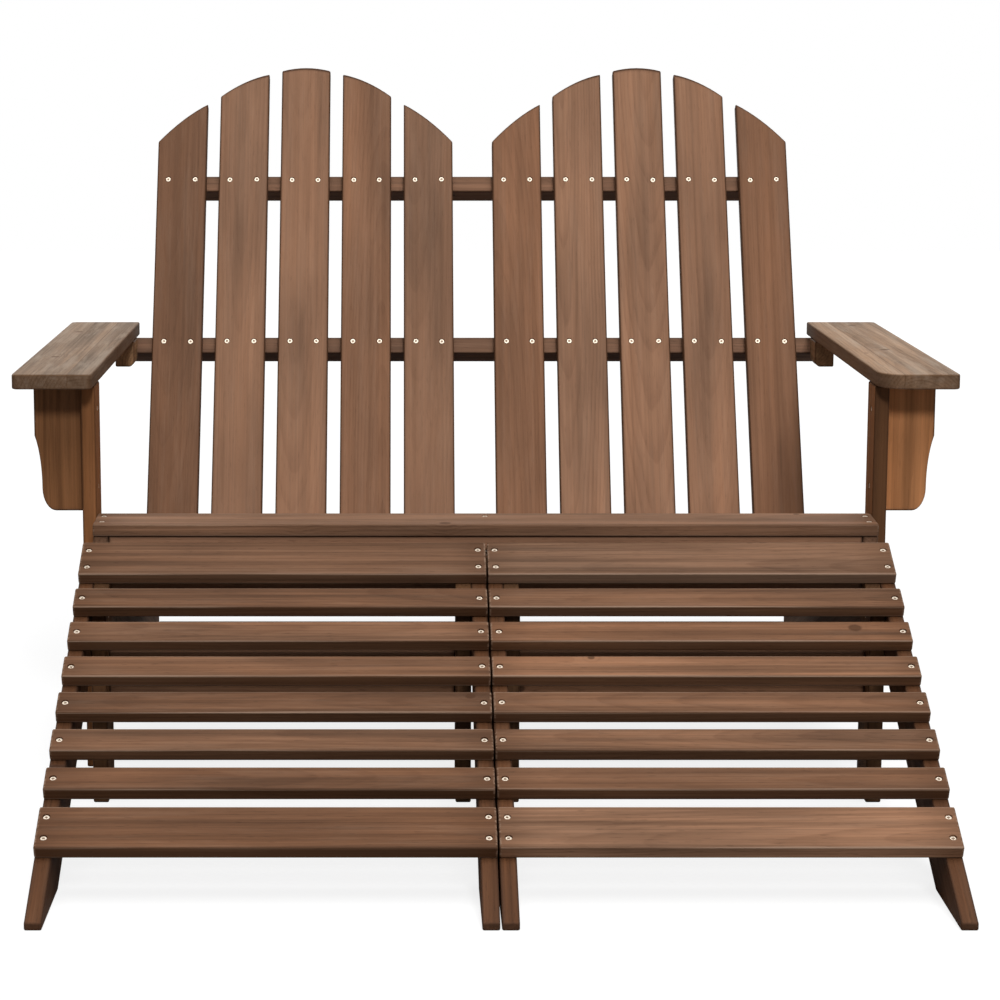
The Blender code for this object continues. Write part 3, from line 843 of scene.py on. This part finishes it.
@dataclass
class ScrewMaker:
    """Sets cross headed screws with one Geometry Nodes tree."""

    finish: Material
    diameter: float = 7.5 * MILLIMETRE
    turn_seed: int = 7
    sides: int = 16
    rim: float = 0.05
    thickness: float = 0.13
    arm_reach: float = 0.26
    arm_half_width: float = 0.10
    recess_depth: float = 0.115
    recess_taper: float = 0.72
    wall_shade: float = 0.8
    floor_shade: float = 1.0

    def make_head(self) -> Object:
        """Builds one head, one unit across, its top at the origin.

        Returns:
            The head's object.
        """
        turns = [2.0 * math.pi * i / self.sides for i in range(self.sides)]
        circle = [(math.cos(turn), math.sin(turn)) for turn in turns]
        a, b = self.arm_half_width, self.arm_reach
        cross = [
            (c * x - s * y, s * x + c * y)
            for c, s in ((1, 0), (0, 1), (-1, 0), (0, -1)) for x, y in ((b, -a), (b, a), (a, a))
        ]
        head = add_object("screw_head", bpy.data.meshes.new("screw_head"))
        with shaping(head.data) as work:
            # This layer marks the cross recess faces that get painted shade.
            shade = work.faces.layers.float.new("recess")

            def loop(outline: Sequence[Span], scale: float, height: float) -> list:
                """One closed line of corners."""
                return [work.verts.new((x * scale, y * scale, height)) for x, y in outline]

            def wall(low: list, high: list, dark: float = 0.0) -> None:
                """Faces between two lines of corners."""
                for i, corner in enumerate(low):
                    j = (i + 1) % len(low)
                    work.faces.new((high[j], high[i], corner, low[j]))[shade] = dark

            floor = loop(circle, 0.5, -self.thickness)
            rim = loop(circle, 0.5, -self.rim)
            top = loop(circle, 0.5 - self.rim, 0.0)
            mouth = loop(cross, 1.0, 0.0)
            deep = loop(cross, self.recess_taper, -self.recess_depth)
            wall(floor, rim)
            wall(rim, top)
            work.faces.new(list(reversed(floor)))
            edges = []
            for line in (top, mouth):
                for pair in zip(line, line[1:] + line[:1]):
                    edges.append(work.edges.get(pair) or work.edges.new(pair))
            bmesh.ops.triangle_fill(work, use_beauty=True, use_dissolve=False, edges=edges, normal=Z_AXIS)
            wall(deep, mouth, self.wall_shade)
            work.faces.new(deep)[shade] = self.floor_shade
            bmesh.ops.recalc_face_normals(work, faces=work.faces)
        return head

    def make_tree(self) -> bpy.types.NodeTree:
        """Builds the tree that puts a head on every point.

        Returns:
            The Geometry Nodes tree.
        """
        tree = bpy.data.node_groups.new("set_screws", "GeometryNodeTree")
        for name, way, kind in (
            ("Places", "INPUT", "Geometry"), ("Head", "INPUT", "Object"), ("Head Diameter", "INPUT", "Float"),
            ("Turn Seed", "INPUT", "Int"), ("Finish", "INPUT", "Material"), ("Screws", "OUTPUT", "Geometry"),
        ):
            tree.interface.new_socket(name, in_out=way, socket_type="NodeSocket" + kind)
        w = Wiring(tree)
        given = w.node("NodeGroupInput").outputs
        facing = w.node("GeometryNodeInputNamedAttribute", {"Name": "facing"}, data_type="FLOAT_VECTOR")
        align = w.node("FunctionNodeAlignRotationToVector", {"Vector": facing.outputs["Attribute"]}, axis="Z")
        feeds = {2: 0.0, 3: 2.0 * math.pi, 8: given["Turn Seed"]}
        chance = w.node("FunctionNodeRandomValue", feeds, data_type="FLOAT").outputs[1]
        spin = w.node("FunctionNodeEulerToRotation", {0: w.combine(0.0, 0.0, chance)}).outputs[0]
        turn = w.node("FunctionNodeRotateRotation", {0: align.outputs[0], 1: spin}, rotation_space="LOCAL")
        feeds = {"Object": given["Head"], "As Instance": True}
        head = w.node("GeometryNodeObjectInfo", feeds, transform_space="ORIGINAL").outputs["Geometry"]
        put = w.node("GeometryNodeInstanceOnPoints", {
            "Points": given["Places"], "Instance": head,
            "Rotation": turn.outputs[0], "Scale": given["Head Diameter"],
        })
        real = w.node("GeometryNodeRealizeInstances", {0: put.outputs[0]}).outputs[0]
        paint = w.node("GeometryNodeSetMaterial", {"Geometry": real, "Material": given["Finish"]})
        w.node("NodeGroupOutput", {0: paint.outputs[0]})
        return tree

    def set_all(self, screws: dict[Body, list[Screw]]) -> None:
        """Makes one mesh of screws for each body.

        Args:
            screws: the screws of each body.
        """
        head, tree = self.make_head(), self.make_tree()
        values = {"Head": head, "Head Diameter": self.diameter, "Turn Seed": self.turn_seed, "Finish": self.finish}
        inputs = {face.identifier: values[face.name] for face in tree.interface.items_tree if face.name in values}
        for body, driven in screws.items():
            name = body.value + "_screws"
            mesh = bpy.data.meshes.new(name)
            mesh.from_pydata([screw.place - screw.facing * screw.sink for screw in driven], [], [])
            write_layer(mesh, "facing", "POINT", [screw.facing for screw in driven])
            piece = add_object(name, mesh)
            apply_modifier(piece, "NODES", inputs, node_group=tree)
            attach(piece, body.value)
            log.info("%s: %d screws, %d faces", piece.name, len(driven), len(piece.data.polygons))
        bpy.data.meshes.remove(head.data)


def drive(places: Iterable[Vector], facing: Vector, draw: random.Random, sink: float = 0.35 * MILLIMETRE,
          off_mark: float = 0.7 * MILLIMETRE, uneven: float = 0.3) -> list[Screw]:
    """Sets screws by hand: each one a little off its mark and not quite as deep as the next.

    Args:
        places: the marks on the surface.
        facing: the way the heads face.
        draw: the run of random numbers.
        sink: how far the heads lie below the surface.
        off_mark: how far off its mark a screw may be.
        uneven: how much the depth may vary, as a share of it.

    Returns:
        The screws.
    """
    side = facing.orthogonal().normalized()
    other = facing.cross(side)
    return [
        Screw(
            place + (side * draw.uniform(-off_mark, off_mark) + other * draw.uniform(-off_mark, off_mark)),
            facing, sink * draw.uniform(1.0 - uneven, 1.0 + uneven),
        )
        for place in places
    ]


@dataclass
class ReclinedBack:
    """Ten arched slats on two crossbars and a foot rail."""

    slope: Slope = Slope(Vector((0.0, 0.53784, 0.5112)), -28.7)
    slat_centres: Numbers = (0.0682, 0.1631, 0.258, 0.3529, 0.4478)
    screw_heights: Numbers = (-0.013, 0.256)
    foot_screw_height: float = -0.400
    screw_spread: float = 0.0201
    front_skin: float = -0.0163
    arch_bulge: float = 0.0055
    tones: Numbers = (0.587, 0.967, 0.993, 0.814, 0.88, 0.798, 1.066, 1.08, 0.959, 0.77)
    warmths: Numbers = (1.1, -0.1, 0.0, 0.7, -0.1, 1.3, -0.2, 0.1, 0.2, 1.3)
    crowned: tuple[int, ...] = (3, 8)

    def boards(self) -> Iterator[Board]:
        """Lays out the back.

        Yields:
            Its boards with their screws.
        """
        up, forward = self.slope.normal, -self.slope.run
        centres = [-c for c in reversed(self.slat_centres)] + list(self.slat_centres)
        for number, (centre, tone, warmth) in enumerate(zip(centres, self.tones, self.warmths), start=1):
            node = f"back_slat_{number:02d}"
            marks = [(centre + s * self.screw_spread, h) for h in self.screw_heights for s in (-1.0, 1.0)]
            marks.append((centre, self.foot_screw_height))
            places = [self.slope.point(x, self.front_skin, height) for x, height in marks]
            screws = drive(places, forward, random.Random(node + " screws"))
            # The stronger edge band on slats 3 and 8 is painted shade, darkening both long edges as the shading of
            # a crowned face would.
            look = Look(tone, warmth, knottiness=0.0, streaks=0.6, fineness=0.5, arris_stain=1.6,
                        edge_stain=1.8 if number in self.crowned else 1.1)
            yield Board(node, Slot.SLATS, up, forward, screws, look, arch_bulge=self.arch_bulge)
        for node, tone in (("crossbar_lower", 0.80), ("crossbar_upper", 1.0), ("back_foot_rail", 0.9)):
            yield Board(node, Slot.RAILS, X_AXIS, up, look=Look(tone, warmth=0.2))


@dataclass
class SlopedSeat:
    """Six seat slats, the stringers under them and the boards that tie these."""

    front: Slope = Slope(Vector((0.0, -0.12116, 0.3385)), 2.5)
    fall: Slope = Slope(Vector((0.0, -0.0445, 0.3255)), -20.0)
    stringer_centre: float = 0.4985
    front_marks: Numbers = (0.018, 0.052)
    slat_pitch: float = 0.08101
    first_centre: float = 0.0465
    slat_top: float = 0.0163
    screw_spread: float = 0.018
    sloping_slats: int = 5
    sloping_tones: Span = (0.75, 0.95)
    stringer_skin: float = 0.5085
    apron_front: float = -0.11716
    apron_middle: float = -0.1092
    apron_screw_heights: Numbers = (0.300, 0.255)
    stretcher_middle: float = 0.5858
    stretcher_screw_heights: Numbers = (0.022, 0.046)

    def boards(self) -> Iterator[Board]:
        """Lays out the seat.

        Yields:
            Its boards with their screws.
        """
        stations = (-self.stringer_centre, 0.0, self.stringer_centre)
        marks = [(x, run) for x in stations for run in self.front_marks if x or run == self.front_marks[1]]
        places = [self.front.point(x, run, 0.0) for x, run in marks]
        screws = drive(places, self.front.normal, random.Random("front seat slat"))
        # The front seat slat carries a painted highlight along its arrises.
        look = Look(tone=0.83, warmth=-0.7, knottiness=0.4, streaks=1.5, rubbing=0.5, tip_shade=0.25,
                    edge_stain=0.4, arris_stain=0.4, side_stain=0.2)
        yield Board("seat_slat_1", Slot.SLATS, X_AXIS, self.front.normal, screws, look)
        for number in range(self.sloping_slats):
            node = f"seat_slat_{number + 2}"
            draw = random.Random(node + " screws")
            centre = self.first_centre + number * self.slat_pitch
            places = [
                self.fall.point(x, centre + shift, self.slat_top)
                for x in stations for shift in (-self.screw_spread, self.screw_spread)
            ]
            screws = drive(places, self.fall.normal, draw)
            look = Look(tone=draw.uniform(*self.sloping_tones), streaks=1.4)
            yield Board(node, Slot.SLATS, X_AXIS, self.fall.normal, screws, look)
        marks = [(self.apron_middle, z) for z in self.apron_screw_heights]
        marks += [(self.stretcher_middle, z) for z in self.stretcher_screw_heights]
        for side in Side:
            out = X_AXIS * side.value
            places = [Vector((side.value * self.stringer_skin, y, z)) for y, z in marks]
            screws = drive(places, out, random.Random(side.word + " stringer screws"))
            look = Look(tone=1.3, end_stain=0.1)
            yield Board(f"stringer_{side.word}", Slot.RAILS, self.fall.run, out, screws, look)
        yield Board("stringer_centre", Slot.RAILS, self.fall.run, X_AXIS)
        places = [Vector((0.0, self.apron_front, z)) for z in self.apron_screw_heights]
        screws = drive(places, -Y_AXIS, random.Random("apron screws"))
        # The apron's high tone is painted light, lifting a face that lies in the shadow of the front seat slat.
        yield Board("front_apron", Slot.RAILS, X_AXIS, -Y_AXIS, screws, Look(tone=1.7))
        yield Board("rear_stretcher", Slot.RAILS, X_AXIS, Y_AXIS)


@dataclass
class ArmSide:
    """An arm with its leg, shaped bracket and rear cleat."""

    side: Side
    leg_inner: float = 0.5088
    leg_outer: float = 0.5278
    leg_centre_y: float = -0.0332
    bracket_screw_heights: Numbers = (0.478, 0.375)
    stringer_screw_heights: Numbers = (0.288, 0.245)
    stringer_screw_spread: float = 0.012
    glue_line: float = 0.0205
    cleat_centre_x: float = 0.5229
    cleat_centre_y: float = 0.5020
    cleat_foot: float = 0.4732

    def boards(self) -> Iterator[Board]:
        """Lays out this side.

        Yields:
            Its boards with their screws.
        """
        sign, word, left = self.side.value, self.side.word, self.side is Side.LEFT
        out = X_AXIS * sign
        draw = random.Random(word + " leg")
        inner = [Vector((sign * self.leg_inner, self.leg_centre_y, z)) for z in self.bracket_screw_heights]
        outer = [
            Vector((sign * self.leg_outer, self.leg_centre_y + shift * self.stringer_screw_spread, z))
            for z, shift in zip(self.stringer_screw_heights, (-1.0, 1.0))
        ]
        leg_screws = drive(inner, -out, draw) + drive(outer, out, draw)
        foot = Vector((sign * self.cleat_centre_x, self.cleat_centre_y, self.cleat_foot))
        arm = Look(
            tone=0.715 if left else 1.02, warmth=0.0 if left else 0.8, knottiness=1.0, streaks=1.4,
            side_stain=1.0 if left else 1.25, end_stain=1.0 if left else 0.95, glue_line=sign * self.glue_line,
        )
        leg = Look(
            tone=1.09 if left else 1.42, warmth=2.5 if left else 1.2, streaks=1.4, fineness=0.6,
            edge_stain=0.5, side_stain=0.0 if left else 1.4,
        )
        # The right bracket's high tone is partly a lighter board and partly painted light, standing in for light
        # from the right.
        bracket = Look(
            tone=0.98 if left else 2.02, warmth=1.4, knottiness=0.15, streaks=1.5, fineness=0.5, side_stain=0.3,
        )
        # The cleat's high tone is painted light: the arm shades the cleat from both lamps, and the tone lifts it
        # to a lit brown.
        cleat = Look(tone=1.9, warmth=-2.0, side_stain=0.3, end_stain=0.0)
        yield Board(f"arm_{word}", Slot.ARMS, Y_AXIS, Z_AXIS, look=arm)
        yield Board(f"front_leg_{word}", Slot.LEGS, Z_AXIS, out, leg_screws, leg)
        yield Board(f"arm_bracket_{word}", Slot.LEGS, Z_AXIS, -Y_AXIS, look=bracket)
        yield Board(f"arm_cleat_{word}", Slot.LEGS, Y_AXIS, out, drive([foot], -Z_AXIS, draw), cleat)


@dataclass
class Footstool:
    """A sloping slatted footstool: eight slats on two rails, two legs and a stretcher.

    The slats of either side have a tone, a warmth and a side stain each, from the top one down.
    """

    side: Side
    slope: Slope = Slope(Vector((0.0, -0.75346, 0.009)), 25.0)
    centre: float = 0.2605
    slat_centres: Numbers = (0.6595, 0.5745, 0.5045, 0.4345, 0.3645, 0.2945, 0.2245, 0.1395)
    slat_top: float = 0.0163
    rail_reach: float = 0.24975
    wide_spread: float = 0.018
    leg_outer_skin: float = 0.23970
    leg_y: float = -0.2005
    leg_heights: Numbers = (0.168, 0.142)
    rail_screw_heights: Numbers = (0.205, 0.235)
    leg_inner_skin: float = 0.22020
    head_sink: float = 1.25 * MILLIMETRE
    left_slats: tuple[Triple, ...] = (
        (0.616, 0.2, 0.0), (0.579, 1.0, 0.7), (0.786, 0.4, 1.1), (0.70, 0.9, 1.0),
        (0.433, 1.1, 0.6), (0.691, 0.4, 1.1), (0.526, 1.4, 1.2), (0.559, 1.4, 1.0),
    )
    # The top right slat's side stain below nothing paints its front face paler: painted light.
    right_slats: tuple[Triple, ...] = (
        (0.809, -0.7, -0.25), (0.685, 0.6, 0.7), (0.792, 1.5, 0.9), (1.01, 0.7, 1.0),
        (0.62, 0.7, 0.8), (0.753, 0.3, 1.0), (0.613, 0.8, 0.9), (1.069, -0.1, 0.1),
    )

    def boards(self) -> Iterator[Board]:
        """Lays out this footstool.

        Yields:
            Its boards with their screws.
        """
        left = self.side is Side.LEFT
        body = Body.STOOL_LEFT if left else Body.STOOL_RIGHT
        prefix = f"stool_{self.side.word}_"
        middle = self.side.value * self.centre
        up = self.slope.normal
        woods = self.left_slats if left else self.right_slats
        for number, (run, (tone, warmth, side_stain)) in enumerate(zip(self.slat_centres, woods), start=1):
            node = f"{prefix}slat_{number}"
            wide = number in (1, len(self.slat_centres))
            places = [
                self.slope.point(middle + end * self.rail_reach, run + shift, self.slat_top)
                for end in (-1.0, 1.0) for shift in ((-self.wide_spread, self.wide_spread) if wide else (0.0,))
            ]
            screws = drive(places, up, random.Random(node + " screws"), self.head_sink)
            # The stool slats carry a painted highlight along their arrises.
            look = Look(tone, warmth, knottiness=0.45, streaks=1.6, rubbing=0.8, tip_shade=0.35,
                        edge_stain=0.4, arris_stain=0.3, side_stain=side_stain)
            yield Board(node, Slot.SLATS, X_AXIS, up, screws, look, body)
        for part, sign in (("inner", -self.side.value), ("outer", self.side.value)):
            out = X_AXIS * sign
            rail_look = Look(tone=0.42, warmth=3.2)
            yield Board(f"{prefix}rail_{part}", Slot.RAILS, self.slope.run, out, look=rail_look, body=body)
            node = f"{prefix}leg_{part}"
            draw = random.Random(node + " screws")
            outer = [Vector((middle + sign * self.leg_outer_skin, self.leg_y, z)) for z in self.leg_heights]
            inner = [Vector((middle + sign * self.leg_inner_skin, self.leg_y, z)) for z in self.rail_screw_heights]
            screws = drive(outer, out, draw) + drive(inner, -out, draw)
            yield Board(node, Slot.LEGS, Z_AXIS, out, screws, Look(tone=0.8), body)
        yield Board(f"{prefix}stretcher", Slot.RAILS, X_AXIS, -Y_AXIS, body=body)


@dataclass
class Studio:
    """Pale floor, soft light and the photograph's camera."""

    eye: Place = (-0.10671, -3.6704, 0.96023)
    tilt_down: float = 9.432
    lens: float = 100.364
    sensor: float = 36.0
    shift_across: float = 0.09677
    sight: float = 60.0
    floor_reach: float = 9.0
    floor_bounce: Colour = (0.24, 0.24, 0.24)
    floor_shown: Colour = (0.26, 0.26, 0.26)
    floor_glow: float = 0.82
    key_from: Place = (0.05, -0.25, 0.97)
    key_softness: float = 48.0
    key_strength: float = 2.00
    fill_from: Place = (0.13, -0.81, 0.57)
    fill_softness: float = 10.0
    fill_strength: float = 1.20
    ambient: float = 0.10

    def set_up(self) -> None:
        """Builds the whole studio."""
        self._camera()
        self._floor()
        self._lamp("overhead_light", self.key_from, self.key_softness, self.key_strength)
        self._lamp("front_light", self.fill_from, self.fill_softness, self.fill_strength)
        self._world()
        bpy.context.scene.view_settings.view_transform = "Standard"
        log.info("studio: camera, floor, two lamps and world")

    def _camera(self) -> None:
        """Puts the camera where the photograph was taken from."""
        data = bpy.data.cameras.new("camera")
        data.sensor_fit = "HORIZONTAL"
        data.sensor_width = self.sensor
        data.lens = self.lens
        data.shift_x = self.shift_across
        data.clip_end = self.sight
        camera = add_object("camera", data)
        camera.location = self.eye
        camera.rotation_euler = (math.radians(90.0 - self.tilt_down), 0.0, 0.0)
        bpy.context.scene.camera = camera

    def _floor(self) -> None:
        """Lays the floor, which glows a little where the camera looks at it."""
        reach = self.floor_reach
        corners = [(x * reach, y * reach, 0.0) for x, y in ((-1, -1), (1, -1), (1, 1), (-1, 1))]
        mesh = bpy.data.meshes.new("floor")
        mesh.from_pydata(corners, [], [(0, 1, 2, 3)])
        material = bpy.data.materials.new("pale_floor")
        material.use_nodes = True
        w = Wiring(material.node_tree)
        bounce, shown = (
            w.node("ShaderNodeBsdfDiffuse", {"Color": opaque(colour)}).outputs[0]
            for colour in (self.floor_bounce, self.floor_shown)
        )
        glow = w.node("ShaderNodeEmission", {"Strength": self.floor_glow}).outputs[0]
        both = w.node("ShaderNodeAddShader", {0: shown, 1: glow}).outputs[0]
        seen = w.node("ShaderNodeLightPath").outputs["Is Camera Ray"]
        w.show(w.node("ShaderNodeMixShader", {0: seen, 1: bounce, 2: both}).outputs[0])
        mesh.materials.append(material)
        add_object("floor", mesh)

    def _lamp(self, name: str, origin: Place, softness: float, strength: float) -> None:
        """Hangs one broad soft light, even over the whole object.

        Args:
            name: the lamp's name.
            origin: the direction that its light comes from.
            softness: how wide it looks, in degrees.
            strength: its strength.
        """
        data = bpy.data.lights.new(name, "SUN")
        data.energy = strength
        data.angle = math.radians(softness)
        add_object(name, data).rotation_euler = Vector(origin).to_track_quat("Z", "Y").to_euler()

    def _world(self) -> None:
        """Fills the room with even light, white where it is looked at."""
        world = bpy.data.worlds.new("studio")
        bpy.context.scene.world = world
        world.use_nodes = True
        w = Wiring(world.node_tree)
        path = w.node("ShaderNodeLightPath").outputs
        rays = (path[f"Is {kind} Ray"] for kind in ("Camera", "Transmission", "Glossy"))
        seen = reduce(lambda a, b: w.math("MAXIMUM", a, b), rays)
        feeds = {"Color": opaque((1.0, 1.0, 1.0)), "Strength": w.spread(seen, self.ambient, 1.0)}
        w.show(w.node("ShaderNodeBackground", feeds).outputs[0], "ShaderNodeOutputWorld")


def make_finishes() -> dict[Slot, Material]:
    """Mixes the four wood finishes.

    Returns:
        The material of each slot.
    """
    woods = (
        WoodFinish(Slot.SLATS, (0.270, 0.1385, 0.078), (0.150, 0.069, 0.036), (0.066, 0.027, 0.011),
                   (0.37, 0.245, 0.17), wear=0.10, side_depth=0.50),
        # The arm wood's pale greyish colours are partly weathering and partly a painted sheen, standing in for the
        # reflection the arm tops show at a grazing angle.
        WoodFinish(Slot.ARMS, (0.325, 0.222, 0.150), (0.170, 0.105, 0.068), (0.105, 0.048, 0.020),
                   (0.44, 0.35, 0.27), ring_depth=0.62, drift_heat=2.0, wear=0.45, knot_share=0.9, roughness=0.62,
                   end_depth=0.53, side_depth=0.45, arris_depth=0.25, glued=True),
        WoodFinish(Slot.RAILS, (0.21, 0.108, 0.062), (0.130, 0.062, 0.034), (0.050, 0.025, 0.015),
                   (0.28, 0.19, 0.13), wear=0.06),
        WoodFinish(Slot.LEGS, (0.225, 0.107, 0.048), (0.130, 0.057, 0.025), (0.050, 0.023, 0.011),
                   (0.28, 0.18, 0.11), wear=0.06, side_depth=0.55),
    )
    return {wood.slot: wood.make() for wood in woods}


def main() -> None:
    """Builds the seat, both footstools and the studio."""
    logging.basicConfig(level=logging.INFO, format="%(name)s: %(message)s")
    shop = BoardShop(make_finishes())
    assemblies = (
        ReclinedBack(), SlopedSeat(), ArmSide(Side.LEFT), ArmSide(Side.RIGHT),
        Footstool(Side.LEFT), Footstool(Side.RIGHT),
    )
    for assembly in assemblies:
        for board in assembly.boards():
            shop.dress(board)
    ScrewMaker(ScrewFinish().make()).set_all(shop.screws)
    Studio().set_up()


if __name__ == "__main__":
    main()
